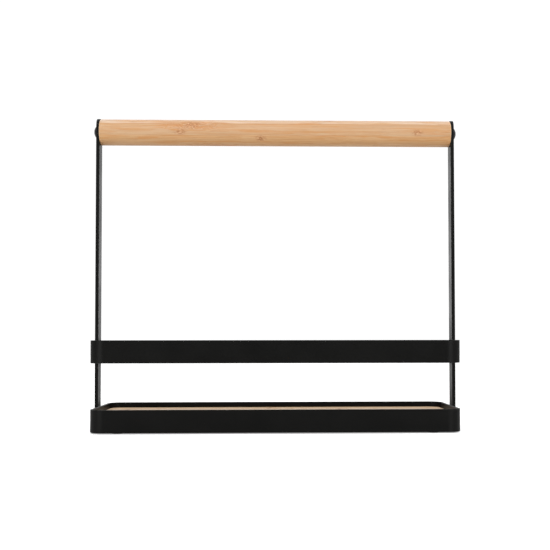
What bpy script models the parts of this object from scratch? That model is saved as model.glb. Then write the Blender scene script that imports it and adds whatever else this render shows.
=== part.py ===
"""Handled desk caddy: a bamboo board in a steel rim, with a guard rail, two uprights and a bamboo handle.

Metres, +Z up. The origin is at the middle of the base, where the feet meet the desk. X runs along the
handle, and Y runs from the front to the back.
"""

from math import cos, pi, radians, sin

import bmesh
import bpy
from mathutils import Matrix, Vector

MM = 0.001
GAP = 0.3 * MM  # clearance between pieces that touch on the real object

# Loops of flat strip: the tray's rim and the guard rail above it
LOOP_LENGTH = 340 * MM
LOOP_DEPTH = 120 * MM
LOOP_CORNER_RADIUS = 14 * MM
STRIP_THICKNESS = 2 * MM
STRIP_HEIGHT = 21 * MM
STRIP_EDGE = 0.4 * MM
RIM_BOTTOM = 1 * MM
RAIL_BOTTOM = 64 * MM

# Uprights of flat bar, outside the loops
BAR_THICKNESS = 3 * MM
BAR_WIDTH = 16 * MM
BAR_TOP = 300 * MM
BAR_EDGE = 0.5 * MM
BAR_FOOT_RADIUS = 2 * MM

# Handle
HANDLE_DIAMETER = 25 * MM
HANDLE_HEIGHT = 287 * MM
HANDLE_CHAMFER = 0.8 * MM

# M6 screws with low domed heads, and the threaded inserts that they run into
SCREW_RADIUS = 3 * MM
SCREW_LENGTH = 18 * MM
SCREW_HEAD_RADIUS = 6.2 * MM
SCREW_HEAD_HEIGHT = 3 * MM
SCREW_HEAD_RIM = 0.5 * MM
SCREW_TIP_CHAMFER = 0.6 * MM
SOCKET_ACROSS_FLATS = 4 * MM
SOCKET_DEPTH = 1.8 * MM
INSERT_RADIUS = 5 * MM
INSERT_LENGTH = 13 * MM
INSERT_GROOVE_DEPTH = 0.5 * MM
INSERT_GROOVE_SPAN = (4.3 * MM, 8.7 * MM)
INSERT_GROOVE_SLOPE = 0.8 * MM
TIP_ROOM = 5 * MM

# Bamboo board
BOARD_RECESS = 5.2 * MM
BOARD_THICKNESS = 10 * MM
BOARD_SIDE_GAP = 0.5 * MM
BOARD_EDGE = 1 * MM

# Tabs, feet and the wood screws through them
TAB_WIDTH = 18 * MM
TAB_REACH = 20 * MM
TAB_THICKNESS = 2 * MM
TAB_EDGE = 0.3 * MM
FOOT_PLACE = (145 * MM, 46.5 * MM)
FOOT_RADIUS = 7 * MM
FOOT_TAPER = 0.8 * MM
FOOT_CHAMFER = 0.5 * MM
WOOD_SCREW_RADIUS = 1.75 * MM
WOOD_SCREW_HEAD_RADIUS = 3.4 * MM
WOOD_SCREW_HEAD_HEIGHT = 1.6 * MM
WOOD_SCREW_BITE = 7 * MM
WOOD_SCREW_POINT = 3 * MM
HEAD_RECESS = 0.8 * MM
CROSS_LENGTH = 3.4 * MM
CROSS_WIDTH = 0.8 * MM
CROSS_DEPTH = 0.9 * MM

RIM_TOP = RIM_BOTTOM + STRIP_HEIGHT
BOARD_TOP = RIM_TOP - BOARD_RECESS
BOARD_BOTTOM = BOARD_TOP - BOARD_THICKNESS
TAB_TOP = BOARD_BOTTOM - GAP
TAB_BOTTOM = TAB_TOP - TAB_THICKNESS
FOOT_HEIGHT = TAB_BOTTOM - GAP

SIDES = {"left": -1, "right": 1}
CORNERS = {
    "front_left": (-1, -1),
    "front_right": (1, -1),
    "back_left": (-1, 1),
    "back_right": (1, 1),
}


def clear_scene():
    for obj in list(bpy.data.objects):
        bpy.data.objects.remove(obj, do_unlink=True)


def make_material(name, color, roughness, metallic=0.0):
    material = bpy.data.materials.new(name)
    material.use_nodes = True
    shader = material.node_tree.nodes["Principled BSDF"]
    shader.inputs["Base Color"].default_value = (*color, 1.0)
    shader.inputs["Roughness"].default_value = roughness
    shader.inputs["Metallic"].default_value = metallic
    return material


def mesh_from(bm, name):
    bmesh.ops.recalc_face_normals(bm, faces=bm.faces)
    mesh = bpy.data.meshes.new(name)
    bm.to_mesh(mesh)
    bm.free()
    return mesh


def add_object(name, mesh, material, assembly=None, smooth=False):
    if smooth:
        mesh.shade_smooth()
        mesh.set_sharp_from_angle(angle=radians(35))
    if material is not None and not mesh.materials:
        mesh.materials.append(material)
    obj = bpy.data.objects.new(name, mesh)
    obj.parent = assembly
    bpy.context.scene.collection.objects.link(obj)
    return obj


def add_bevel(obj, width, segments=2):
    bevel = obj.modifiers.new("soft_edges", "BEVEL")
    bevel.width = width
    bevel.segments = segments
    bevel.limit_method = "ANGLE"
    bevel.angle_limit = radians(50)


def hide_cutter(obj):
    obj.hide_render = True
    obj.display_type = "WIRE"


def cut(obj, cutter):
    hide_cutter(cutter)
    boolean = obj.modifiers.new(cutter.name, "BOOLEAN")
    boolean.operation = "DIFFERENCE"
    boolean.solver = "EXACT"
    boolean.object = cutter


def finished_mesh(obj):
    """The object's mesh with its modifiers applied, for copies to share."""
    graph = bpy.context.evaluated_depsgraph_get()
    return bpy.data.meshes.new_from_object(obj.evaluated_get(graph))


def arc(centre, radius, start, end, steps):
    """Points of an arc in a plane, from one angle in degrees to another."""
    points = []
    for step in range(steps + 1):
        angle = radians(start + (end - start) * step / steps)
        points.append((centre[0] + radius * cos(angle), centre[1] + radius * sin(angle)))
    return points


def rounded_rectangle(length, depth, radius, steps=8):
    """Outline of a rectangle with round corners, anticlockwise, centred on the origin."""
    x = length / 2 - radius
    y = depth / 2 - radius
    outline = []
    for turn, centre in enumerate(((x, y), (-x, y), (-x, -y), (x, -y))):
        outline += arc(centre, radius, 90 * turn, 90 * turn + 90, steps)
    return outline


def prism(outline, bottom, top):
    """bmesh of an outline in the XY plane, extruded from one height to another."""
    bm = bmesh.new()
    base = bm.faces.new([bm.verts.new((x, y, bottom)) for x, y in outline])
    extruded = bmesh.ops.extrude_face_region(bm, geom=[base])
    raised = [item for item in extruded["geom"] if isinstance(item, bmesh.types.BMVert)]
    bmesh.ops.translate(bm, verts=raised, vec=(0, 0, top - bottom))
    return bm


def turned(profile, steps):
    """bmesh of a profile of (radius, height) points spun round Z. Both ends are on the axis."""
    bm = bmesh.new()
    verts = [bm.verts.new((radius, 0, height)) for radius, height in profile]
    edges = [bm.edges.new(pair) for pair in zip(verts, verts[1:])]
    bmesh.ops.spin(bm, geom=verts + edges, axis=(0, 0, 1), cent=(0, 0, 0), angle=2 * pi, steps=steps)
    bmesh.ops.remove_doubles(bm, verts=bm.verts, dist=1e-6)
    return bm


def turned_sleeve(profile, steps):
    """bmesh of a closed profile of (radius, height) points spun round Z, clear of the axis."""
    bm = bmesh.new()
    verts = [bm.verts.new((radius, 0, height)) for radius, height in profile]
    edges = [bm.edges.new(pair) for pair in zip(verts, verts[1:] + verts[:1])]
    bmesh.ops.spin(bm, geom=verts + edges, axis=(0, 0, 1), cent=(0, 0, 0), angle=2 * pi, steps=steps)
    bmesh.ops.remove_doubles(bm, verts=bm.verts, dist=1e-6)
    return bm


def cylinder_profile(radius, length):
    return [(0, 0), (radius, 0), (radius, length), (0, length)]


def strip_loop(name, bottom, material, assembly):
    """Closed loop of flat strip, standing on its edge."""
    outer = rounded_rectangle(LOOP_LENGTH, LOOP_DEPTH, LOOP_CORNER_RADIUS)
    inner = rounded_rectangle(
        LOOP_LENGTH - 2 * STRIP_THICKNESS,
        LOOP_DEPTH - 2 * STRIP_THICKNESS,
        LOOP_CORNER_RADIUS - STRIP_THICKNESS,
    )
    bm = bmesh.new()
    loops = []
    for outline, height in ((outer, 0), (outer, STRIP_HEIGHT), (inner, STRIP_HEIGHT), (inner, 0)):
        verts = [bm.verts.new((x, y, height)) for x, y in outline]
        loops.append([bm.edges.new(pair) for pair in zip(verts, verts[1:] + verts[:1])])
    for first, second in zip(loops, loops[1:] + loops[:1]):
        bmesh.ops.bridge_loops(bm, edges=first + second)
    obj = add_object(name, mesh_from(bm, name), material, assembly, smooth=True)
    obj.location.z = bottom
    add_bevel(obj, STRIP_EDGE)
    return obj


def upright_outline():
    """The bar's face: width across, and height up from its foot. The top end is half round."""
    half = BAR_WIDTH / 2
    height = BAR_TOP - RIM_BOTTOM
    foot = half - BAR_FOOT_RADIUS
    outline = arc((0, height - half), half, 0, 180, 20)
    outline += arc((-foot, BAR_FOOT_RADIUS), BAR_FOOT_RADIUS, 180, 270, 4)
    outline += arc((foot, BAR_FOOT_RADIUS), BAR_FOOT_RADIUS, 270, 360, 4)
    return outline


def upright(side_name, material, assembly):
    """Flat bar up one end of the caddy, with a hole for the handle's screw."""
    name = f"upright_{side_name}"
    side = SIDES[side_name]
    bm = prism(upright_outline(), -BAR_THICKNESS / 2, BAR_THICKNESS / 2)
    bmesh.ops.rotate(bm, verts=bm.verts, cent=(0, 0, 0), matrix=Matrix.Rotation(pi / 2, 3, "X"))
    bmesh.ops.rotate(bm, verts=bm.verts, cent=(0, 0, 0), matrix=Matrix.Rotation(pi / 2, 3, "Z"))
    obj = add_object(name, mesh_from(bm, name), material, assembly, smooth=True)
    obj.location = (side * (LOOP_LENGTH / 2 + GAP + BAR_THICKNESS / 2), 0, RIM_BOTTOM)
    add_bevel(obj, BAR_EDGE)
    hole = mesh_from(turned(cylinder_profile(SCREW_RADIUS + GAP, 3 * BAR_THICKNESS), 24), "hole")
    drill = add_object(f"{name}_drill", hole, None, assembly)
    drill.rotation_euler.y = pi / 2
    drill.location = (obj.location.x - 1.5 * BAR_THICKNESS, 0, HANDLE_HEIGHT)
    cut(obj, drill)
    return obj


def handle_dowel(material, assembly):
    """Dowel with a stepped bore in each end: the insert's seat, then room for the screw's tip."""
    half = LOOP_LENGTH / 2
    radius = HANDLE_DIAMETER / 2
    seat = half - INSERT_LENGTH - 2 * GAP
    lower_end = [
        (0, TIP_ROOM - seat),
        (SCREW_RADIUS + GAP, TIP_ROOM - seat),
        (SCREW_RADIUS + GAP, -seat),
        (INSERT_RADIUS + GAP, -seat),
        (INSERT_RADIUS + GAP, -half),
        (radius - HANDLE_CHAMFER, -half),
        (radius - 0.3 * HANDLE_CHAMFER, 0.3 * HANDLE_CHAMFER - half),
        (radius, HANDLE_CHAMFER - half),
    ]
    upper_end = [(r, -height) for r, height in reversed(lower_end)]
    bm = turned(lower_end + upper_end, 56)
    obj = add_object("handle_dowel", mesh_from(bm, "handle_dowel"), material, assembly, smooth=True)
    obj.rotation_euler.y = pi / 2
    obj.location.z = HANDLE_HEIGHT
    return obj


def dome(radius, height, start_height, steps=5):
    """Profile points of a shallow domed head, from its rim up to the axis."""
    ball = (radius**2 + height**2) / (2 * height)
    points = []
    for step in range(steps + 1):
        r = radius * (1 - step / steps)
        points.append((r, start_height + (ball**2 - r**2) ** 0.5 - ball + height))
    return points


def socket_cutter(name, corners, across_flats, top, depth, assembly):
    """A prism with flat sides that cuts a drive socket down from the top of a head."""
    radius = across_flats / 2 / cos(pi / corners)
    outline = arc((0, 0), radius, 0, 360, corners)[:-1]
    bm = prism(outline, top - depth, top + depth)
    return add_object(name, mesh_from(bm, name), None, assembly)


def handle_screw_mesh(assembly):
    """Screw along Z: its shank points down, and its domed head starts at height 0."""
    profile = [
        (0, -SCREW_LENGTH),
        (SCREW_RADIUS - SCREW_TIP_CHAMFER, -SCREW_LENGTH),
        (SCREW_RADIUS, SCREW_TIP_CHAMFER - SCREW_LENGTH),
        (SCREW_RADIUS, 0),
        (SCREW_HEAD_RADIUS, 0),
    ]
    profile += dome(SCREW_HEAD_RADIUS, SCREW_HEAD_HEIGHT - SCREW_HEAD_RIM, SCREW_HEAD_RIM)
    blank = mesh_from(turned(profile, 32), "handle_screw")
    screw = add_object("screw_blank", blank, None, assembly, smooth=True)
    socket = socket_cutter(
        "screw_socket", 6, SOCKET_ACROSS_FLATS, SCREW_HEAD_HEIGHT, SOCKET_DEPTH, assembly
    )
    cut(screw, socket)
    mesh = finished_mesh(screw)
    for helper in (screw, socket):
        bpy.data.objects.remove(helper, do_unlink=True)
    return mesh


def handle_screws(material, assembly):
    mesh = handle_screw_mesh(assembly)
    for side_name, side in SIDES.items():
        screw = add_object(f"handle_screw_{side_name}", mesh, material, assembly)
        screw.rotation_euler.y = side * pi / 2
        screw.location = (side * (LOOP_LENGTH / 2 + BAR_THICKNESS + 2 * GAP), 0, HANDLE_HEIGHT)


def handle_inserts(material, assembly):
    """Threaded inserts, each a sleeve with a groove round its waist, just inside the end of the dowel."""
    bore = SCREW_RADIUS + GAP
    waist = INSERT_RADIUS - INSERT_GROOVE_DEPTH
    groove_start, groove_end = INSERT_GROOVE_SPAN
    profile = [
        (bore, 0),
        (INSERT_RADIUS, 0),
        (INSERT_RADIUS, groove_start - INSERT_GROOVE_SLOPE),
        (waist, groove_start),
        (waist, groove_end),
        (INSERT_RADIUS, groove_end + INSERT_GROOVE_SLOPE),
        (INSERT_RADIUS, INSERT_LENGTH),
        (bore, INSERT_LENGTH),
    ]
    mesh = mesh_from(turned_sleeve(profile, 24), "handle_insert")
    for side_name, side in SIDES.items():
        insert = add_object(f"handle_insert_{side_name}", mesh, material, assembly, smooth=True)
        insert.rotation_euler.y = side * pi / 2
        insert.location = (side * (LOOP_LENGTH / 2 - GAP - INSERT_LENGTH), 0, HANDLE_HEIGHT)


def base_board(material, assembly):
    """Board with round corners, and a blind pilot hole over each foot."""
    inset = 2 * (STRIP_THICKNESS + BOARD_SIDE_GAP)
    corner = LOOP_CORNER_RADIUS - inset / 2
    outline = rounded_rectangle(LOOP_LENGTH - inset, LOOP_DEPTH - inset, corner)
    bm = prism(outline, 0, BOARD_THICKNESS)
    obj = add_object("base_board", mesh_from(bm, "base_board"), material, assembly, smooth=True)
    obj.location.z = BOARD_BOTTOM
    add_bevel(obj, BOARD_EDGE, segments=3)
    depth = WOOD_SCREW_BITE + 2 * GAP
    drill_mesh = mesh_from(turned(cylinder_profile(WOOD_SCREW_RADIUS + GAP, 2 * depth), 20), "pilot")
    for corner_name, (side, end) in CORNERS.items():
        drill = add_object(f"pilot_{corner_name}", drill_mesh, None, assembly)
        drill.location = (side * FOOT_PLACE[0], end * FOOT_PLACE[1], BOARD_BOTTOM - depth)
        cut(obj, drill)
    return obj


def tab_outline():
    """The tab seen from above: square where it is welded to the rim, half round at its free end."""
    half = TAB_WIDTH / 2
    return [(half, 0)] + arc((0, TAB_REACH - half), half, 0, 180, 14) + [(-half, 0)]


def board_tabs(material, assembly):
    """Tabs inside the rim, each with a clearance hole for a wood screw."""
    wall = LOOP_DEPTH / 2 - STRIP_THICKNESS - GAP
    plate = mesh_from(prism(tab_outline(), 0, TAB_THICKNESS), "board_tab")
    blank = add_object("tab_blank", plate, None, assembly)
    add_bevel(blank, TAB_EDGE, segments=1)
    hole = mesh_from(turned(cylinder_profile(WOOD_SCREW_RADIUS + GAP, 3 * TAB_THICKNESS), 20), "hole")
    drill = add_object("tab_drill", hole, None, assembly)
    drill.location = (0, wall - FOOT_PLACE[1], -TAB_THICKNESS)
    cut(blank, drill)
    mesh = finished_mesh(blank)
    for helper in (blank, drill):
        bpy.data.objects.remove(helper, do_unlink=True)
    for corner_name, (side, end) in CORNERS.items():
        tab = add_object(f"board_tab_{corner_name}", mesh, material, assembly)
        tab.location = (side * FOOT_PLACE[0], end * wall, TAB_BOTTOM)
        tab.rotation_euler.z = pi if end > 0 else 0


def feet(material, assembly):
    """Rubber feet: a tapered disc with a counterbore that hides the screw's head."""
    bore = WOOD_SCREW_RADIUS + GAP
    counterbore = WOOD_SCREW_HEAD_RADIUS + GAP
    seat = HEAD_RECESS + WOOD_SCREW_HEAD_HEIGHT + GAP
    base_radius = FOOT_RADIUS - FOOT_TAPER
    profile = [
        (counterbore, 0),
        (base_radius - FOOT_CHAMFER, 0),
        (base_radius, FOOT_CHAMFER),
        (FOOT_RADIUS, FOOT_HEIGHT),
        (bore, FOOT_HEIGHT),
        (bore, seat),
        (counterbore, seat),
    ]
    mesh = mesh_from(turned_sleeve(profile, 32), "foot")
    for corner_name, (side, end) in CORNERS.items():
        foot = add_object(f"foot_{corner_name}", mesh, material, assembly, smooth=True)
        foot.location = (side * FOOT_PLACE[0], end * FOOT_PLACE[1], 0)


def cross_outline():
    """Outline of a cross recess, anticlockwise."""
    long = CROSS_LENGTH / 2
    short = CROSS_WIDTH / 2
    arm = [(long, -short), (long, short), (short, short)]
    outline = []
    for quarter in range(4):
        turn = Matrix.Rotation(quarter * pi / 2, 2)
        outline += [tuple(turn @ Vector(point)) for point in arm]
    return outline


def wood_screw_mesh(assembly):
    """Wood screw along Z: its shank points up, and its head's flat underside is at height 0."""
    tip = BOARD_BOTTOM + WOOD_SCREW_BITE - HEAD_RECESS - WOOD_SCREW_HEAD_HEIGHT
    side = 0.5 * WOOD_SCREW_HEAD_HEIGHT
    head = dome(WOOD_SCREW_HEAD_RADIUS, WOOD_SCREW_HEAD_HEIGHT - side, side, steps=3)
    profile = [(radius, -height) for radius, height in reversed(head)]
    profile += [(WOOD_SCREW_HEAD_RADIUS, 0), (WOOD_SCREW_RADIUS, 0)]
    profile += [(WOOD_SCREW_RADIUS, tip - WOOD_SCREW_POINT), (0, tip)]
    blank = mesh_from(turned(profile, 20), "wood_screw")
    screw = add_object("wood_blank", blank, None, assembly, smooth=True)
    recess = prism(cross_outline(), -2 * WOOD_SCREW_HEAD_HEIGHT, CROSS_DEPTH - WOOD_SCREW_HEAD_HEIGHT)
    cutter = add_object("wood_cross", mesh_from(recess, "wood_cross"), None, assembly)
    cut(screw, cutter)
    mesh = finished_mesh(screw)
    for helper in (screw, cutter):
        bpy.data.objects.remove(helper, do_unlink=True)
    return mesh


def foot_screws(material, assembly):
    mesh = wood_screw_mesh(assembly)
    for corner_name, (side, end) in CORNERS.items():
        screw = add_object(f"foot_screw_{corner_name}", mesh, material, assembly)
        height = HEAD_RECESS + WOOD_SCREW_HEAD_HEIGHT
        screw.location = (side * FOOT_PLACE[0], end * FOOT_PLACE[1], height)


def main():
    clear_scene()
    powder_coat = make_material("black_powder_coat", (0.012, 0.012, 0.011), 0.5)
    handle_bamboo = make_material("handle_bamboo", (0.62, 0.37, 0.17), 0.45)
    board_bamboo = make_material("board_bamboo", (0.66, 0.45, 0.26), 0.5)
    black_steel = make_material("black_steel", (0.02, 0.02, 0.02), 0.35, metallic=0.6)
    brass = make_material("brass", (0.72, 0.52, 0.22), 0.35, metallic=1.0)
    zinc_steel = make_material("zinc_steel", (0.6, 0.6, 0.58), 0.35, metallic=1.0)
    rubber = make_material("foot_rubber", (0.02, 0.02, 0.02), 0.8)

    assembly = bpy.data.objects.new("desk_caddy", None)
    bpy.context.scene.collection.objects.link(assembly)
    strip_loop("tray_rim", RIM_BOTTOM, powder_coat, assembly)
    strip_loop("upper_rail", RAIL_BOTTOM, powder_coat, assembly)
    for side_name in SIDES:
        upright(side_name, powder_coat, assembly)
    handle_dowel(handle_bamboo, assembly)
    handle_screws(black_steel, assembly)
    handle_inserts(brass, assembly)
    base_board(board_bamboo, assembly)
    board_tabs(powder_coat, assembly)
    feet(rubber, assembly)
    foot_screws(zinc_steel, assembly)


main()
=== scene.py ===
"""Looks of the handled desk caddy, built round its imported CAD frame.

Every piece is made in the frame's own metres, so object coordinates in the materials are frame coordinates.
"""

from math import cos, pi, radians, sin

import bmesh
import bpy
from mathutils import Euler, Matrix, Vector


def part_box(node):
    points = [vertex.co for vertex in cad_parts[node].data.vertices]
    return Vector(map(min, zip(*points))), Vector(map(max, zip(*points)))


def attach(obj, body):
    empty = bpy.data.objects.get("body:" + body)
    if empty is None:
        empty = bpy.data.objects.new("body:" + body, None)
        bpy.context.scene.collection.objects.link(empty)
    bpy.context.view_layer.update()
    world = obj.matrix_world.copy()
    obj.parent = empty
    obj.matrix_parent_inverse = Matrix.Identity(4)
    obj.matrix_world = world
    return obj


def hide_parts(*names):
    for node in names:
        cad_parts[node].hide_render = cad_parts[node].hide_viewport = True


MM = 0.001
SIDES = {"left": -1, "right": 1}
CORNERS = {
    "front_left": (-1, -1),
    "front_right": (1, -1),
    "back_left": (-1, 1),
    "back_right": (1, 1),
}

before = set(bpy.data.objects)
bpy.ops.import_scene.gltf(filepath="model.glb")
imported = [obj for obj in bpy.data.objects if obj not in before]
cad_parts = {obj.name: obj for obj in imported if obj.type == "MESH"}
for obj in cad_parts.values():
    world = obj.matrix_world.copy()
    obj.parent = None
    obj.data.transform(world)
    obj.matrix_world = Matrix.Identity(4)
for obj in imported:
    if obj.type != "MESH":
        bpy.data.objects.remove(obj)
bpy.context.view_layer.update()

# Places, read from the frame
RIM_LOW, RIM_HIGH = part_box("tray_rim")
RAIL_LOW, RAIL_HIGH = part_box("upper_rail")
BOARD_LOW, BOARD_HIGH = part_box("base_board")
BAR_LOW, BAR_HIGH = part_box("upright_right")
DOWEL_LOW, DOWEL_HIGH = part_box("handle_dowel")
TAB_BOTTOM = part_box("board_tab_back_right")[0].z
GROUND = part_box("foot_back_right")[0].z
SCREW_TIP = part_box("handle_screw_right")[0].x
LOOP_END = RIM_HIGH.x
HANDLE_AXIS = (DOWEL_LOW.z + DOWEL_HIGH.z) / 2
HANDLE_RADIUS = (DOWEL_HIGH.z - DOWEL_LOW.z) / 2

# Steel strip, bars, welds and tabs
LOOP_CORNER = 14 * MM
STRIP_THICKNESS = 2 * MM
STRIP_EDGE = 0.4 * MM
BAR_EDGE = 0.5 * MM
BAR_FOOT = 2 * MM
WELD_SIZE = 1.1 * MM
WELD_RIPPLE = 1.3 * MM
WELD_MARGIN = 0.6 * MM
TAB_EDGE = 0.3 * MM

# Handle, with its bores as (radius, depth), and its screws
HANDLE_ROUNDING = 0.8 * MM
HANDLE_SEAT = (5.3 * MM, 13.6 * MM)
HANDLE_TIP_ROOM = (3.3 * MM, 18.6 * MM)
SCREW_RADIUS = 3 * MM
SCREW_TIP_CHAMFER = 0.6 * MM
SCREW_HEAD_RADIUS = 6.2 * MM
SCREW_HEAD_HEIGHT = 3 * MM
SCREW_HEAD_RIM = 0.5 * MM
SOCKET_FLATS = 4 * MM
SOCKET_DEPTH = 1.8 * MM
SOCKET_ROUNDING = 0.15 * MM

# Board and feet
BOARD_CORNER = LOOP_CORNER - (RIM_HIGH.x - BOARD_HIGH.x)
BOARD_EDGE = 1 * MM
FOOT_TAPER = 0.8 * MM
FOOT_BOTTOM_ROUNDING = 0.7 * MM
FOOT_TOP_ROUNDING = 0.4 * MM
FOOT_BORE = 2.05 * MM
FOOT_RECESS = (3.7 * MM, 2.7 * MM)
FOOT_RECESS_ROUNDING = 0.3 * MM

# Bamboo: nodes on the handle as (along it, degrees up from its front line), and its glued pieces
BOLD_NODES = ((-81 * MM, 26), (52 * MM, 84), (-128 * MM, 122), (-58 * MM, 262))
FAINT_NODES = ((-92 * MM, -6), (-15 * MM, -34), (137 * MM, -6), (22 * MM, 168), (104 * MM, 200))
HANDLE_LAYER = 6 * MM
HANDLE_LAYER_SHIFT = 1.4 * MM
BOARD_STRIP = 19 * MM
BOARD_STRIP_SHIFT = 5 * MM
BOARD_NODE_PITCH = 210 * MM

# Studio: softboxes as (place, width, height, watts), and the camera that matches the photo
SOFTBOXES = {
    "softbox_left": ((-1.15, -1.3, 0.5), 0.6, 1.2, 11.5),
    "softbox_right": ((1.15, -1.3, 0.5), 0.6, 1.2, 11.5),
    "softbox_front": ((0, -1.5, 1.55), 1.4, 0.9, 12),
}
CAMERA_PLACE = (-1.6 * MM, -946.7 * MM, 82 * MM)
CAMERA_TURN = (91.96, 0.076, -1.793)
CAMERA_LENS = 63.82
CAMERA_SHIFT = (-0.0545, 0.0636)


# ---------------------------------------------------------------- materials


class Graph:
    """A material with a Principled shader, and short ways to add the nodes that drive it."""

    def __init__(self, name):
        self.material = bpy.data.materials.new(name)
        self.material.use_nodes = True
        self.tree = self.material.node_tree
        self.shader = self.tree.nodes["Principled BSDF"]
        self.place = self.node("ShaderNodeTexCoord").outputs["Object"]

    def node(self, kind, **settings):
        made = self.tree.nodes.new(kind)
        for key, value in settings.items():
            setattr(made, key, value)
        return made

    def feed(self, socket, value):
        if isinstance(value, bpy.types.NodeSocket):
            self.tree.links.new(value, socket)
        else:
            socket.default_value = value

    def set(self, **values):
        """Sets or links the shader's sockets: base_color=... is the socket Base Color."""
        for key, value in values.items():
            self.feed(self.shader.inputs[key.replace("_", " ").title().replace("Ior", "IOR")], value)

    def math(self, operation, a, b=0.0):
        made = self.node("ShaderNodeMath", operation=operation)
        self.feed(made.inputs[0], a)
        self.feed(made.inputs[1], b)
        return made.outputs[0]

    def vector(self, operation, a, b):
        made = self.node("ShaderNodeVectorMath", operation=operation)
        self.feed(made.inputs[0], a)
        self.feed(made.inputs[1], b)
        return made.outputs["Value" if operation in ("LENGTH", "DISTANCE") else "Vector"]

    def split(self, point):
        made = self.node("ShaderNodeSeparateXYZ")
        self.feed(made.inputs[0], point)
        return made.outputs

    def join(self, x, y, z):
        made = self.node("ShaderNodeCombineXYZ")
        for socket, value in zip(made.inputs, (x, y, z)):
            self.feed(socket, value)
        return made.outputs[0]

    def span(self, value, start, end, low=0.0, high=1.0, smooth=True):
        """value from start to end becomes low to high, and stays there outside."""
        made = self.node("ShaderNodeMapRange")
        made.interpolation_type = "SMOOTHSTEP" if smooth else "LINEAR"
        for socket, number in zip(made.inputs, (value, start, end, low, high)):
            self.feed(socket, number)
        return made.outputs[0]

    def noise(self, point, size, detail=2.0, roughness=0.5):
        """Noise from 0 to 1 whose features are about size long, in metres along each axis."""
        stretched = self.vector("DIVIDE", point, size)
        made = self.node("ShaderNodeTexNoise")
        self.feed(made.inputs["Vector"], stretched)
        self.feed(made.inputs["Scale"], 1.0)
        self.feed(made.inputs["Detail"], detail)
        self.feed(made.inputs["Roughness"], roughness)
        return made.outputs["Fac"]

    def random(self, value):
        made = self.node("ShaderNodeTexWhiteNoise", noise_dimensions="1D")
        self.feed(made.inputs["W"], value)
        return made.outputs["Value"]

    def steps(self, value, colors):
        """Each colour in its own equal band of value from 0 to 1."""
        made = self.node("ShaderNodeValToRGB")
        ramp = made.color_ramp
        ramp.interpolation = "CONSTANT"
        while len(ramp.elements) < len(colors):
            ramp.elements.new(1.0)
        for index, (element, color) in enumerate(zip(ramp.elements, colors)):
            element.position = index / len(colors)
            element.color = color
        self.feed(made.inputs[0], value)
        return made.outputs[0]

    def mix(self, factor, a, b, blend="MIX"):
        made = self.node("ShaderNodeMix", data_type="RGBA", blend_type=blend)
        for index, value in ((0, factor), (6, a), (7, b)):
            self.feed(made.inputs[index], value)
        return made.outputs[2]

    def bump(self, height, distance, normal=None):
        """Bump whose height of 1 stands for distance, in metres."""
        made = self.node("ShaderNodeBump")
        self.feed(made.inputs["Height"], height)
        self.feed(made.inputs["Distance"], distance)
        if normal is not None:
            self.feed(made.inputs["Normal"], normal)
        return made.outputs[0]


def tone(red, green, blue):
    """A colour given as sRGB from 0 to 255, as the linear colour that a shader takes."""
    linear = []
    for value in (red, green, blue):
        share = value / 255
        linear.append(share / 12.92 if share <= 0.04045 else ((share + 0.055) / 1.055) ** 2.4)
    return (*linear, 1.0)


def powder_coat():
    """Fine-textured black powder coat: orange peel, a slight cloudiness and a few rubbed specks."""
    g = Graph("black_powder_coat")
    peel = g.noise(g.place, (0.7 * MM,) * 3, 2)
    grain = g.noise(g.place, (0.22 * MM,) * 3, 1)
    cloud = g.noise(g.place, (26 * MM,) * 3, 3)
    speck = g.span(g.noise(g.place, (1.6 * MM,) * 3, 1), 0.79, 0.83)
    rubbed = g.mix(cloud, tone(6, 6, 5), tone(12, 12, 11))
    g.set(base_color=g.mix(g.math("MULTIPLY", speck, 0.5), rubbed, tone(40, 39, 37)))
    smoothness = g.span(cloud, 0.3, 0.7, 0.38, 0.45)
    g.set(roughness=g.math("ADD", smoothness, g.span(grain, 0.3, 0.7, -0.03, 0.03)))
    g.set(specular_ior_level=0.11)
    texture = g.math("ADD", peel, g.math("MULTIPLY", grain, 0.35))
    g.set(normal=g.bump(texture, 0.02 * MM))
    return g.material


def black_screw_steel():
    """Satin black screw: turning rings fade out under the finish, with a painted highlight round the
    socket.
    """
    g = Graph("satin_black_screw")
    smudge = g.noise(g.place, (2.5 * MM,) * 3, 3)
    off_axis = g.vector("MULTIPLY", g.vector("SUBTRACT", g.place, (0, 0, HANDLE_AXIS)), (0, 1, 1))
    radius = g.vector("LENGTH", off_axis, (0, 0, 0))
    rings = g.math("SINE", g.math("MULTIPLY", radius, 2 * pi / (0.35 * MM)))
    # Painted highlight: the dome is painted paler round its socket, where the light's reflection sits.
    socket_highlight = g.span(radius, 1.3 * SOCKET_FLATS / 2, 1.1 * SOCKET_FLATS / 2)
    tint = g.mix(smudge, tone(26, 26, 27), tone(38, 38, 39))
    g.set(base_color=g.mix(g.math("MULTIPLY", socket_highlight, smudge), tint, tone(95, 94, 92)))
    g.set(roughness=g.span(smudge, 0.3, 0.7, 0.28, 0.38))
    g.set(specular_ior_level=0.6)
    g.set(normal=g.bump(g.math("ADD", rings, smudge), 0.002 * MM))
    return g.material


def zinc_steel():
    """Bright zinc plating, with a faint blue and yellow bloom and fine turning marks."""
    g = Graph("zinc_plated_steel")
    bloom = g.noise(g.place, (1.8 * MM,) * 3, 3)
    fine = g.noise(g.place, (0.25 * MM, 0.25 * MM, 2 * MM), 2)
    g.set(base_color=g.mix(bloom, tone(196, 200, 206), tone(212, 207, 190)))
    g.set(metallic=1.0)
    g.set(roughness=g.span(fine, 0.3, 0.7, 0.24, 0.4))
    g.set(normal=g.bump(fine, 0.004 * MM))
    return g.material


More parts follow.
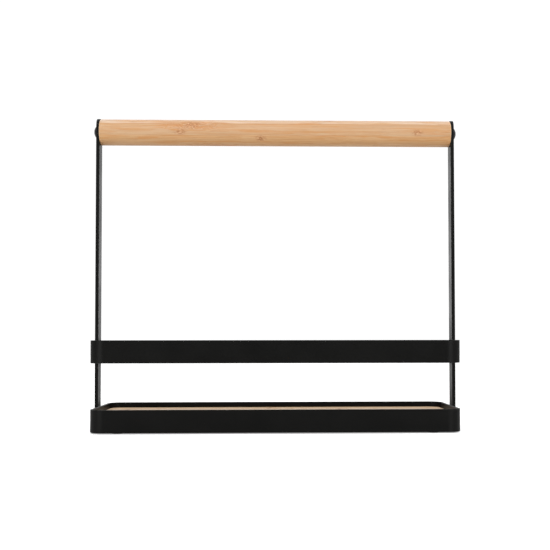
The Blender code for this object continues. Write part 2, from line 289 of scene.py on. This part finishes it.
def insert_brass():
    """Turned brass, slightly dulled, with rings round the insert's axis."""
    g = Graph("turned_brass")
    rings = g.noise(g.place, (0.18 * MM, 40 * MM, 40 * MM), 2)
    dull = g.noise(g.place, (3 * MM,) * 3, 3)
    g.set(base_color=g.mix(dull, tone(214, 178, 104), tone(186, 148, 84)))
    g.set(metallic=1.0)
    g.set(roughness=g.span(rings, 0.3, 0.7, 0.26, 0.42))
    g.set(normal=g.bump(rings, 0.006 * MM))
    return g.material


def foot_rubber():
    """Moulded black rubber with a fine matte grain and a little dust."""
    g = Graph("matte_rubber")
    grain = g.noise(g.place, (0.3 * MM,) * 3, 2)
    dust = g.span(g.noise(g.place, (4 * MM,) * 3, 4), 0.5, 0.75)
    g.set(base_color=g.mix(g.math("MULTIPLY", dust, 0.4), tone(30, 30, 30), tone(66, 64, 61)))
    g.set(roughness=g.span(grain, 0.3, 0.7, 0.72, 0.85))
    g.set(normal=g.bump(grain, 0.03 * MM))
    return g.material


def bamboo_fibres(g, point, thickness):
    """Grain along X at three scales, and the dark dashes of cut fibre bundles, each from 0 to 1."""
    broad = g.noise(point, (120 * MM, thickness * 8, thickness * 8), 3)
    medium = g.noise(point, (46 * MM, thickness * 2.6, thickness * 2.6), 2)
    fine = g.noise(point, (18 * MM, thickness, thickness), 2, 0.6)
    dashes = g.span(g.noise(point, (9 * MM, thickness * 1.1, thickness * 1.1), 1), 0.62, 0.74)
    return broad, medium, fine, dashes


def inside_ovals(g, point, ovals, core):
    """1 inside that share of each ellipsoid of (centre, radii), falling to 0 at its surface."""
    total = None
    for centre, radii in ovals:
        apart = g.vector("DIVIDE", g.vector("SUBTRACT", point, centre), radii)
        reach = g.vector("LENGTH", apart, (0, 0, 0))
        oval = g.span(reach, 1.0, core)
        total = oval if total is None else g.math("MAXIMUM", total, oval)
    return total


def around_handle(x, degrees):
    """A point on the dowel's surface. 0 degrees is its front line, and 90 is its top."""
    turn = radians(degrees)
    return Vector((x, -HANDLE_RADIUS * cos(turn), HANDLE_AXIS + HANDLE_RADIUS * sin(turn)))


def handle_nodes(g):
    """Where the dowel's nodes show, and the wider halos of disturbed grain round the bold ones."""
    bold = [around_handle(*node) for node in BOLD_NODES]
    faint = [around_handle(*node) for node in FAINT_NODES]
    ovals = [(node, (12 * MM, 7 * MM, 6 * MM)) for node in bold]
    ovals += [(node, (8 * MM, 5 * MM, 4.5 * MM)) for node in faint]
    knots = inside_ovals(g, g.place, ovals, 0.1)
    halos = inside_ovals(g, g.place, [(node, (50 * MM, 10 * MM, 8 * MM)) for node in bold], 0.15)
    return knots, halos


def handle_grain(g, halos):
    """The place at which the grain is looked up: it wanders slowly, and curls inside the halos."""
    drift = g.noise(g.place, (55 * MM, 30 * MM, 30 * MM), 2)
    swirl = g.noise(g.place, (14 * MM, 6 * MM, 6 * MM), 1)
    wander = g.math("MULTIPLY", g.math("SUBTRACT", drift, 0.5), 3.2 * MM)
    curl = g.math("MULTIPLY", g.math("MULTIPLY", g.math("SUBTRACT", swirl, 0.5), halos), 9 * MM)
    sway = g.math("ADD", wander, curl)
    return g.vector("ADD", g.place, g.join(0.0, sway, sway))


def handle_layers(g, point):
    """Number of the glued layer at a point, and the glue line at its edges from 0 to 1."""
    height = g.split(point)[2]
    level = g.math("DIVIDE", g.math("SUBTRACT", height, HANDLE_AXIS + HANDLE_LAYER_SHIFT), HANDLE_LAYER)
    layer = g.math("FLOOR", level)
    between = g.math("SUBTRACT", level, layer)
    glue = g.span(g.math("ABSOLUTE", g.math("SUBTRACT", between, 0.5)), 0.46, 0.5)
    return layer, glue


def handle_base(g, layer, broad, medium, fine):
    """The layers' tones, with soft grain over them; the palest top layer is partly a painted highlight, and
    the darker middle layers are partly painted shade.
    """
    # Partly painted light: the top layer is also paler where the top light falls, and the two middle layers
    # are darkened as painted shade.
    tones = (
        tone(194, 154, 112),
        tone(194, 151, 104),
        tone(183, 148, 113),
        tone(180, 143, 106),
        tone(204, 179, 156),
    )
    body = g.steps(g.math("DIVIDE", g.math("ADD", layer, 3.5), len(tones)), tones)
    body = g.mix(g.span(broad, 0.35, 0.7, 0.0, 0.4), body, tone(204, 172, 136))
    body = g.mix(g.span(medium, 0.45, 0.66, 0.0, 0.7), body, tone(184, 132, 76))
    return g.mix(g.span(fine, 0.45, 0.75, 0.0, 0.5), body, tone(178, 130, 84))


def add_flames(g, body, point, fine, halos):
    """Orange streaks, in drifting patches and all round the bold nodes, where some are darker."""
    flame = g.span(g.noise(point, (20 * MM, 1.1 * MM, 1.1 * MM), 2), 0.47, 0.58)
    where = g.span(g.noise(g.place, (70 * MM, 8 * MM, 5 * MM), 1), 0.4, 0.66)
    flame = g.math("MULTIPLY", flame, g.math("MAXIMUM", g.math("MULTIPLY", where, 0.7), halos))
    body = g.mix(g.math("MULTIPLY", flame, 0.8), body, tone(188, 125, 60))
    scorch = g.math("MULTIPLY", halos, g.span(fine, 0.46, 0.62))
    return g.mix(g.math("MULTIPLY", scorch, 0.85), body, tone(170, 104, 46))


def handle_bamboo():
    """Lacquered dowel turned from glued bamboo layers, with orange flames of grain round its nodes."""
    g = Graph("handle_bamboo_lacquered")
    knots, halos = handle_nodes(g)
    point = handle_grain(g, halos)
    layer, glue = handle_layers(g, point)
    offset = g.join(g.math("MULTIPLY", g.random(layer), 0.4), 0.0, g.math("MULTIPLY", layer, 0.05))
    broad, medium, fine, dashes = bamboo_fibres(g, g.vector("ADD", point, offset), 0.3 * MM)
    body = handle_base(g, layer, broad, medium, fine)
    body = add_flames(g, body, point, fine, halos)
    body = g.mix(g.math("MULTIPLY", dashes, 0.3), body, tone(140, 94, 58))
    body = g.mix(g.math("MULTIPLY", glue, 0.18), body, tone(150, 104, 66))
    fleck = g.noise(point, (2.4 * MM, 0.8 * MM, 0.8 * MM), 2)
    knot = g.math("MULTIPLY", knots, g.span(fleck, 0.4, 0.56))
    body = g.mix(g.math("MULTIPLY", knots, 0.4), body, tone(204, 160, 118))
    body = g.mix(g.math("MULTIPLY", knot, 0.85), body, tone(146, 88, 42))
    # Painted highlight: the dowel's rounded end rims are painted paler, standing in for the light they
    # catch.
    along = g.math("ABSOLUTE", g.split(point)[0])
    end = g.span(along, LOOP_END - 0.8 * HANDLE_ROUNDING, LOOP_END - 0.2 * HANDLE_ROUNDING)
    body = g.mix(g.math("MULTIPLY", end, 0.7), body, tone(228, 198, 158))
    g.set(base_color=body)
    g.set(roughness=g.math("ADD", g.span(fine, 0.3, 0.7, 0.42, 0.52), g.math("MULTIPLY", dashes, 0.08)))
    g.set(specular_ior_level=0.4, coat_weight=0.1, coat_roughness=0.32)
    relief = g.math("SUBTRACT", fine, g.math("ADD", g.math("MULTIPLY", dashes, 0.6), glue))
    relief = g.math("SUBTRACT", relief, g.math("MULTIPLY", knot, 0.8))
    g.set(normal=g.bump(relief, 0.018 * MM))
    return g.material


def board_strips(g):
    """Number of the glued strip at each place, and the glue line at its edges from 0 to 1."""
    across = g.split(g.place)[1]
    level = g.math("DIVIDE", g.math("ADD", across, BOARD_STRIP_SHIFT), BOARD_STRIP)
    strip = g.math("FLOOR", level)
    inside = g.math("SUBTRACT", level, strip)
    glue = g.span(g.math("ABSOLUTE", g.math("SUBTRACT", inside, 0.5)), 0.488, 0.5)
    return strip, glue


def board_nodes(g, slide):
    """The narrow node bands across each strip, and the darker grain beside them, from 0 to 1."""
    along = g.split(g.place)[0]
    turns = g.math("ADD", g.math("DIVIDE", along, BOARD_NODE_PITCH), slide)
    bend = g.noise(g.place, (30 * MM, 7 * MM, 7 * MM), 1)
    away = g.math("ABSOLUTE", g.math("SUBTRACT", g.math("FRACT", turns), 0.5))
    away = g.math("ADD", away, g.math("MULTIPLY", g.math("SUBTRACT", bend, 0.5), 0.012))
    return g.span(away, 0.014, 0.003), g.span(away, 0.05, 0.01)


def board_bamboo():
    """Board of bamboo strips glued side by side, each with its own tone and its own node bands."""
    g = Graph("board_bamboo_laminated")
    strip, glue = board_strips(g)
    shade = g.random(g.math("ADD", strip, 7.7))
    slide = g.random(g.math("ADD", strip, 21.3))
    band, halo = board_nodes(g, slide)
    offset = g.join(g.math("MULTIPLY", slide, 0.6), g.math("MULTIPLY", strip, 0.013), 0.0)
    broad, medium, fine, dashes = bamboo_fibres(g, g.vector("ADD", g.place, offset), 0.4 * MM)
    body = g.mix(g.span(broad, 0.3, 0.7), tone(203, 179, 151), tone(191, 164, 132))
    body = g.mix(g.math("MULTIPLY", shade, 0.45), body, tone(196, 160, 118))
    body = g.mix(g.span(medium, 0.42, 0.72, 0.0, 0.4), body, tone(190, 152, 110))
    body = g.mix(g.span(fine, 0.4, 0.75, 0.0, 0.4), body, tone(180, 142, 102))
    body = g.mix(g.math("MULTIPLY", dashes, 0.4), body, tone(140, 100, 64))
    body = g.mix(g.math("MULTIPLY", halo, 0.3), body, tone(176, 132, 88))
    body = g.mix(g.math("MULTIPLY", band, 0.6), body, tone(140, 96, 58))
    body = g.mix(g.math("MULTIPLY", glue, 0.5), body, tone(134, 98, 64))
    g.set(base_color=body)
    g.set(roughness=g.span(fine, 0.3, 0.7, 0.48, 0.6))
    g.set(specular_ior_level=0.4)
    relief = g.math("SUBTRACT", fine, g.math("ADD", dashes, glue))
    g.set(normal=g.bump(relief, 0.02 * MM))
    return g.material


# ---------------------------------------------------------------- meshes


def arc(centre, radius, start, end, steps):
    """Points of an arc in a plane, from one angle in degrees to another."""
    points = []
    for step in range(steps + 1):
        angle = radians(start + (end - start) * step / steps)
        points.append((centre[0] + radius * cos(angle), centre[1] + radius * sin(angle)))
    return points


def mesh_from(bm, name):
    bmesh.ops.recalc_face_normals(bm, faces=bm.faces)
    mesh = bpy.data.meshes.new(name)
    bm.to_mesh(mesh)
    bm.free()
    mesh.shade_smooth()
    return mesh


def add_piece(name, mesh, material, slot, *nodes):
    """A piece that rides on the one body and stands for these CAD nodes."""
    mesh.materials.append(material)
    piece = bpy.data.objects.new(name, mesh)
    bpy.context.scene.collection.objects.link(piece)
    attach(piece, "root")
    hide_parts(*nodes)
    return piece


def soften(piece, width, segments, limit=40):
    """Rounds the sharp edges and keeps the flat faces flat in the shading."""
    bevel = piece.modifiers.new("soft_edges", "BEVEL")
    bevel.width = width
    bevel.segments = segments
    bevel.limit_method = "ANGLE"
    bevel.angle_limit = radians(limit)
    normals = piece.modifiers.new("flat_faces", "WEIGHTED_NORMAL")
    normals.keep_sharp = True


def prism(outline, bottom, top):
    """bmesh of an outline in the XY plane, extruded from one height to another."""
    bm = bmesh.new()
    base = bm.faces.new([bm.verts.new((x, y, bottom)) for x, y in outline])
    extruded = bmesh.ops.extrude_face_region(bm, geom=[base])
    raised = [item for item in extruded["geom"] if isinstance(item, bmesh.types.BMVert)]
    bmesh.ops.translate(bm, verts=raised, vec=(0, 0, top - bottom))
    return bm


def turned(profile, steps, closed=False):
    """bmesh of a profile of (radius, height) points spun round Z."""
    bm = bmesh.new()
    verts = [bm.verts.new((radius, 0, height)) for radius, height in profile]
    pairs = list(zip(verts, verts[1:]))
    if closed:
        pairs.append((verts[-1], verts[0]))
    edges = [bm.edges.new(pair) for pair in pairs]
    bmesh.ops.spin(bm, geom=verts + edges, axis=(0, 0, 1), cent=(0, 0, 0), angle=2 * pi, steps=steps)
    bmesh.ops.remove_doubles(bm, verts=bm.verts, dist=1e-7)
    return bm


def rounded_rectangle(length, depth, radius, steps):
    x = length / 2 - radius
    y = depth / 2 - radius
    outline = []
    for turn, centre in enumerate(((x, y), (-x, y), (-x, -y), (x, -y))):
        outline += arc(centre, radius, 90 * turn, 90 * turn + 90, steps)
    return outline


def strip_section(height):
    """The strip's cross-section with round edges, as (distance out, height, angle of its normal)."""
    inner = -STRIP_THICKNESS + STRIP_EDGE
    corners = (
        (-STRIP_EDGE, height - STRIP_EDGE),
        (inner, height - STRIP_EDGE),
        (inner, STRIP_EDGE),
        (-STRIP_EDGE, STRIP_EDGE),
    )
    section = []
    for turn, (out, up) in enumerate(corners):
        for step in range(5):
            angle = radians(90 * turn + 90 * step / 4)
            section.append((out + STRIP_EDGE * cos(angle), up + STRIP_EDGE * sin(angle), angle))
    return section


def strip_loop(name, low, high, material):
    """Closed loop of flat strip on its edge: its section swept round a rounded rectangle."""
    section = strip_section(high.z - low.z)
    x = high.x - LOOP_CORNER
    y = high.y - LOOP_CORNER
    steps = 28
    verts = []
    normals = []
    for turn, centre in enumerate(((x, y), (-x, y), (-x, -y), (x, -y))):
        for step in range(steps + 1):
            heading = radians(90 * turn + 90 * step / steps)
            out = Vector((cos(heading), sin(heading), 0))
            for distance, up, angle in section:
                verts.append(Vector((*centre, low.z + up)) + out * (LOOP_CORNER + distance))
                normals.append(out * cos(angle) + Vector((0, 0, sin(angle))))
    count = len(section)
    rows = len(verts) // count
    faces = []
    for row in range(rows):
        for column in range(count):
            after = (column + 1) % count
            ahead = (row + 1) % rows
            faces.append(
                (row * count + column, ahead * count + column, ahead * count + after, row * count + after)
            )
    mesh = bpy.data.meshes.new(name)
    mesh.from_pydata(verts, [], faces)
    mesh.shade_smooth()
    mesh.normals_split_custom_set_from_vertices(normals)
    return add_piece(f"{name}_looks", mesh, material, "powder_coat", name)


def weld_fillet(bm, side, end, low, high):
    """A small weld bead in the corner between an upright's edge and a loop, with ripples along it."""
    rows = 44
    lanes = 6
    bar_edge = BAR_HIGH.y
    grid = []
    for row in range(rows + 1):
        share = row / rows
        height = low + (high - low) * share
        taper = min(1.0, 6 * min(share, 1 - share) + 0.05)
        size = WELD_SIZE * taper * (1 + 0.07 * sin(2 * pi * height / WELD_RIPPLE))
        line = []
        for lane in range(lanes + 1):
            angle = pi / 2 * lane / lanes
            bulge = size * (1 - 0.18 * sin(2 * angle))
            across = bar_edge + bulge * cos(angle)
            out = LOOP_END + bulge * sin(angle)
            line.append(bm.verts.new((side * out, end * across, height)))
        line.append(bm.verts.new((side * LOOP_END, end * (bar_edge - WELD_MARGIN), height)))
        grid.append(line)
    for first, second in zip(grid, grid[1:]):
        for lane in range(len(first)):
            after = (lane + 1) % len(first)
            bm.faces.new((first[lane], second[lane], second[after], first[after]))
    for line in (grid[0], grid[-1]):
        bm.faces.new(line)


def upright_outline():
    """The bar's face: width across, and height up. The top end is half round."""
    half = BAR_HIGH.y
    outline = arc((0, BAR_HIGH.z - half), half, 0, 180, 48)
    outline += arc((BAR_FOOT - half, BAR_LOW.z + BAR_FOOT), BAR_FOOT, 180, 270, 8)
    outline += arc((half - BAR_FOOT, BAR_LOW.z + BAR_FOOT), BAR_FOOT, 270, 360, 8)
    return outline


def upright(side_name, material):
    """Flat bar with softened edges, from the loops' outer face to its own outer face."""
    side = SIDES[side_name]
    bm = prism(upright_outline(), LOOP_END, BAR_HIGH.x)
    stand_up = Matrix(((0, 0, side, 0), (1, 0, 0, 0), (0, 1, 0, 0), (0, 0, 0, 1)))
    bmesh.ops.transform(bm, matrix=stand_up, verts=bm.verts)
    mesh = mesh_from(bm, "upright")
    bar = add_piece(f"upright_{side_name}_looks", mesh, material, "powder_coat", f"upright_{side_name}")
    soften(bar, BAR_EDGE, 4)
    return bar


def weld_beads(side_name, material):
    """The beads that join one upright to both loops."""
    side = SIDES[side_name]
    bm = bmesh.new()
    for low, high in ((RIM_LOW.z, RIM_HIGH.z), (RAIL_LOW.z, RAIL_HIGH.z)):
        for end in (-1, 1):
            weld_fillet(bm, side, end, low + WELD_MARGIN, high - WELD_MARGIN)
    beads = mesh_from(bm, "weld_beads")
    return add_piece(f"weld_beads_{side_name}", beads, material, "powder_coat", f"upright_{side_name}")


def handle(material):
    """The dowel, with rounded rims and the stepped bores that the inserts and screws sit in."""
    seat_radius, seat_depth = HANDLE_SEAT
    tip_radius, tip_depth = HANDLE_TIP_ROOM
    end = LOOP_END
    rim = arc((HANDLE_RADIUS - HANDLE_ROUNDING, HANDLE_ROUNDING - end), HANDLE_ROUNDING, -90, 0, 8)
    lower = [
        (0, tip_depth - end),
        (tip_radius, tip_depth - end),
        (tip_radius, seat_depth - end),
        (seat_radius, seat_depth - end),
        (seat_radius, -end),
    ]
    lower += rim
    upper = [(radius, -height) for radius, height in reversed(lower)]
    bm = turned(lower + upper, 144)
    lie_down = Matrix.Translation((0, 0, HANDLE_AXIS)) @ Matrix.Rotation(pi / 2, 4, "Y")
    bmesh.ops.transform(bm, matrix=lie_down, verts=bm.verts)
    mesh = mesh_from(bm, "handle_dowel")
    mesh.set_sharp_from_angle(angle=radians(35))
    return add_piece("handle_dowel_looks", mesh, material, "handle_bamboo", "handle_dowel")


def hexagon_radius(angle, across_flats):
    """Distance from the middle of a hexagon to its outline, in that direction."""
    sector = pi / 3
    return across_flats / 2 / cos((angle + sector / 2) % sector - sector / 2)


def head_rings():
    """Rings of the head from its rim into its socket: (radius, height, share of a hexagon)."""
    dome = SCREW_HEAD_HEIGHT - SCREW_HEAD_RIM
    ball = (SCREW_HEAD_RADIUS**2 + dome**2) / (2 * dome)
    soft = SOCKET_ROUNDING
    socket = SOCKET_FLATS / 2
    inner = 1.16 * socket
    rings = [(SCREW_HEAD_RADIUS - soft, 0.0, 0.0), (SCREW_HEAD_RADIUS, soft, 0.0)]
    steps = 15
    for step in range(steps + 1):
        radius = SCREW_HEAD_RADIUS + (inner - SCREW_HEAD_RADIUS) * step / steps
        up = SCREW_HEAD_RIM + (ball**2 - radius**2) ** 0.5 - ball + dome
        rings.append((radius, up, max(0.0, 3 * step / steps - 2)))
    top = rings[-1][1]
    rings += [(socket, top - soft, 1.0), (socket, top - SOCKET_DEPTH, 1.0)]
    rings.append((0.3 * socket, top - SOCKET_DEPTH - 2 * soft, 0.0))
    return rings


def screw_rings():
    """Rings of the whole screw, from its tip to its socket, with places along X for heights."""
    rings = [(SCREW_RADIUS - SCREW_TIP_CHAMFER, SCREW_TIP, 0.0)]
    rings.append((SCREW_RADIUS, SCREW_TIP + SCREW_TIP_CHAMFER, 0.0))
    rings.append((SCREW_RADIUS, BAR_HIGH.x, 0.0))
    rings += [(radius, BAR_HIGH.x + up, share) for radius, up, share in head_rings()]
    return rings


def handle_screw(side_name, material):
    """Low domed screw head with a hexagon socket, and its shank inside the upright and the dowel."""
    side = SIDES[side_name]
    steps = 72
    bm = bmesh.new()
    rings = []
    for radius, out, share in screw_rings():
        ring = []
        for step in range(steps):
            angle = 2 * pi * step / steps
            flat = hexagon_radius(angle, 2 * radius)
            reach = radius + share * (flat - radius)
            ring.append(bm.verts.new((side * out, reach * cos(angle), HANDLE_AXIS + reach * sin(angle))))
        rings.append(ring)
    for first, second in zip(rings, rings[1:]):
        for step in range(steps):
            after = (step + 1) % steps
            bm.faces.new((first[step], second[step], second[after], first[after]))
    for ring in (rings[0], rings[-1]):
        bm.faces.new(ring)
    mesh = mesh_from(bm, "handle_screw")
    mesh.set_sharp_from_angle(angle=radians(38))
    node = f"handle_screw_{side_name}"
    return add_piece(f"{node}_looks", mesh, material, "black_steel", node)


def board(material):
    """Flat board with round corners and softened edges."""
    size = BOARD_HIGH - BOARD_LOW
    bm = prism(rounded_rectangle(size.x, size.y, BOARD_CORNER, 20), BOARD_LOW.z, BOARD_HIGH.z)
    mesh = mesh_from(bm, "base_board")
    piece = add_piece("base_board_looks", mesh, material, "board_bamboo", "base_board")
    soften(piece, BOARD_EDGE, 5)
    return piece


def tab(corner_name, material):
    """Steel tab, touching the rim's wall and half round at its free end."""
    node = f"board_tab_{corner_name}"
    end = CORNERS[corner_name][1]
    low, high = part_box(node)
    half = (high.x - low.x) / 2
    wall = RIM_HIGH.y - STRIP_THICKNESS
    reach = high.y - low.y
    outline = [(half, 0)] + arc((0, reach - half), half, 0, 180, 32) + [(-half, 0)]
    bm = prism(outline, low.z, high.z)
    turn = Matrix.Rotation(pi if end > 0 else 0, 4, "Z")
    place = Matrix.Translation(((low.x + high.x) / 2, end * wall, 0)) @ turn
    bmesh.ops.transform(bm, matrix=place, verts=bm.verts)
    piece = add_piece(f"{node}_looks", mesh_from(bm, "board_tab"), material, "powder_coat", node)
    soften(piece, TAB_EDGE, 3)
    return piece


def foot_profile(radius, height):
    """Half section of a foot, as a closed line of (radius, height) points."""
    bottom = FOOT_BOTTOM_ROUNDING
    top = FOOT_TOP_ROUNDING
    recess, depth = FOOT_RECESS
    lip = FOOT_RECESS_ROUNDING
    profile = arc((radius - FOOT_TAPER - bottom, bottom), bottom, -90, -8, 6)
    profile += arc((radius - top, height - top), top, 0, 90, 4)
    profile += [(FOOT_BORE, height), (FOOT_BORE, depth), (recess, depth)]
    profile += arc((recess + lip, lip), lip, 180, 270, 4)
    return profile


def foot(corner_name, material):
    """Rubber foot: a tapered disc with rounded rims and a recess for the screw's head."""
    node = f"foot_{corner_name}"
    low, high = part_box(node)
    middle = (low + high) / 2
    bm = turned(foot_profile((high.x - low.x) / 2, TAB_BOTTOM), 72, closed=True)
    bmesh.ops.translate(bm, verts=bm.verts, vec=(middle.x, middle.y, low.z))
    mesh = mesh_from(bm, "foot")
    mesh.set_sharp_from_angle(angle=radians(50))
    return add_piece(f"{node}_looks", mesh, material, "foot_rubber", node)


def dress(node, material):
    """A CAD node that keeps showing gets its finished material."""
    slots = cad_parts[node].data.materials
    slots.clear()
    slots.append(material)


def build_caddy():
    steel = powder_coat()
    rubber = foot_rubber()
    zinc = zinc_steel()
    brass = insert_brass()
    screw_black = black_screw_steel()
    handle(handle_bamboo())
    board(board_bamboo())
    strip_loop("tray_rim", RIM_LOW, RIM_HIGH, steel)
    strip_loop("upper_rail", RAIL_LOW, RAIL_HIGH, steel)
    for side_name in SIDES:
        upright(side_name, steel)
        weld_beads(side_name, steel)
        handle_screw(side_name, screw_black)
        dress(f"handle_insert_{side_name}", brass)
    for corner_name in CORNERS:
        tab(corner_name, steel)
        foot(corner_name, rubber)
        dress(f"foot_screw_{corner_name}", zinc)


# ---------------------------------------------------------------- studio


def add_floor():
    bm = bmesh.new()
    bmesh.ops.create_grid(bm, x_segments=1, y_segments=1, size=6)
    floor = bpy.data.objects.new("floor", mesh_from(bm, "floor"))
    floor.location.z = GROUND
    bpy.context.scene.collection.objects.link(floor)
    g = Graph("studio_floor")
    seen = g.node("ShaderNodeLightPath").outputs["Is Camera Ray"]
    g.set(base_color=g.mix(seen, (0.75, 0.75, 0.75, 1.0), (0.98, 0.98, 0.98, 1.0)))
    g.set(roughness=0.9, specular_ior_level=0.0, emission_color=(1, 1, 1, 1))
    g.set(emission_strength=g.math("MULTIPLY", seen, 0.35))
    floor.data.materials.append(g.material)


def add_world():
    """White for the camera. For the light itself: bright above, paler behind, and dim round the camera."""
    world = bpy.data.worlds.new("studio")
    bpy.context.scene.world = world
    world.use_nodes = True
    nodes = world.node_tree.nodes
    link = world.node_tree.links.new
    nodes.clear()

    def node(kind, **settings):
        made = nodes.new(kind)
        for key, value in settings.items():
            setattr(made, key, value)
        return made

    def span(source, start, end, low, high):
        made = node("ShaderNodeMapRange", interpolation_type="SMOOTHSTEP")
        link(source, made.inputs[0])
        for socket, number in zip(made.inputs[1:5], (start, end, low, high)):
            socket.default_value = number
        return made.outputs[0]

    def add(first, second):
        made = node("ShaderNodeMath", operation="ADD")
        link(first, made.inputs[0])
        link(second, made.inputs[1])
        return made.outputs[0]

    direction = node("ShaderNodeSeparateXYZ")
    link(node("ShaderNodeTexCoord").outputs["Generated"], direction.inputs[0])
    behind = span(direction.outputs["Y"], 0.86, 0.98, 0.0, 1.9)
    around = span(direction.outputs["Y"], -0.9, -0.4, 0.05, 0.2)
    above = span(direction.outputs["Z"], 0.3, 0.8, 0.0, 1.0)
    strength = node("ShaderNodeMath", operation="ADD")
    link(add(behind, around), strength.inputs[0])
    link(above, strength.inputs[1])
    lit = node("ShaderNodeBackground")
    link(strength.outputs[0], lit.inputs["Strength"])
    seen = node("ShaderNodeBackground")
    seen.inputs["Strength"].default_value = 1.05
    for background in (lit, seen):
        background.inputs["Color"].default_value = (1, 1, 1, 1)
    choice = node("ShaderNodeMixShader")
    link(node("ShaderNodeLightPath").outputs["Is Camera Ray"], choice.inputs[0])
    link(lit.outputs[0], choice.inputs[1])
    link(seen.outputs[0], choice.inputs[2])
    link(choice.outputs[0], node("ShaderNodeOutputWorld").inputs[0])


def add_softbox(name, place, width, height, power):
    """Area light that faces the middle of the object."""
    light = bpy.data.lights.new(name, "AREA")
    light.shape = "RECTANGLE"
    light.size = width
    light.size_y = height
    light.energy = power
    lamp = bpy.data.objects.new(name, light)
    lamp.location = place
    aim = Vector((0, 0, HANDLE_AXIS / 2)) - Vector(place)
    lamp.rotation_euler = aim.to_track_quat("-Z", "Y").to_euler()
    bpy.context.scene.collection.objects.link(lamp)


def add_camera():
    """The photo's view, straight from the front at the rail's height, tipped up a little and shifted."""
    camera = bpy.data.cameras.new("camera")
    camera.lens = CAMERA_LENS
    camera.sensor_width = 36
    camera.shift_x, camera.shift_y = CAMERA_SHIFT
    holder = bpy.data.objects.new("camera", camera)
    holder.location = CAMERA_PLACE
    holder.rotation_euler = Euler([radians(angle) for angle in CAMERA_TURN])
    bpy.context.scene.collection.objects.link(holder)
    bpy.context.scene.camera = holder


def build_studio():
    add_floor()
    add_world()
    for name, settings in SOFTBOXES.items():
        add_softbox(name, *settings)
    add_camera()
    bpy.context.scene.view_settings.view_transform = "Standard"


build_caddy()
build_studio()
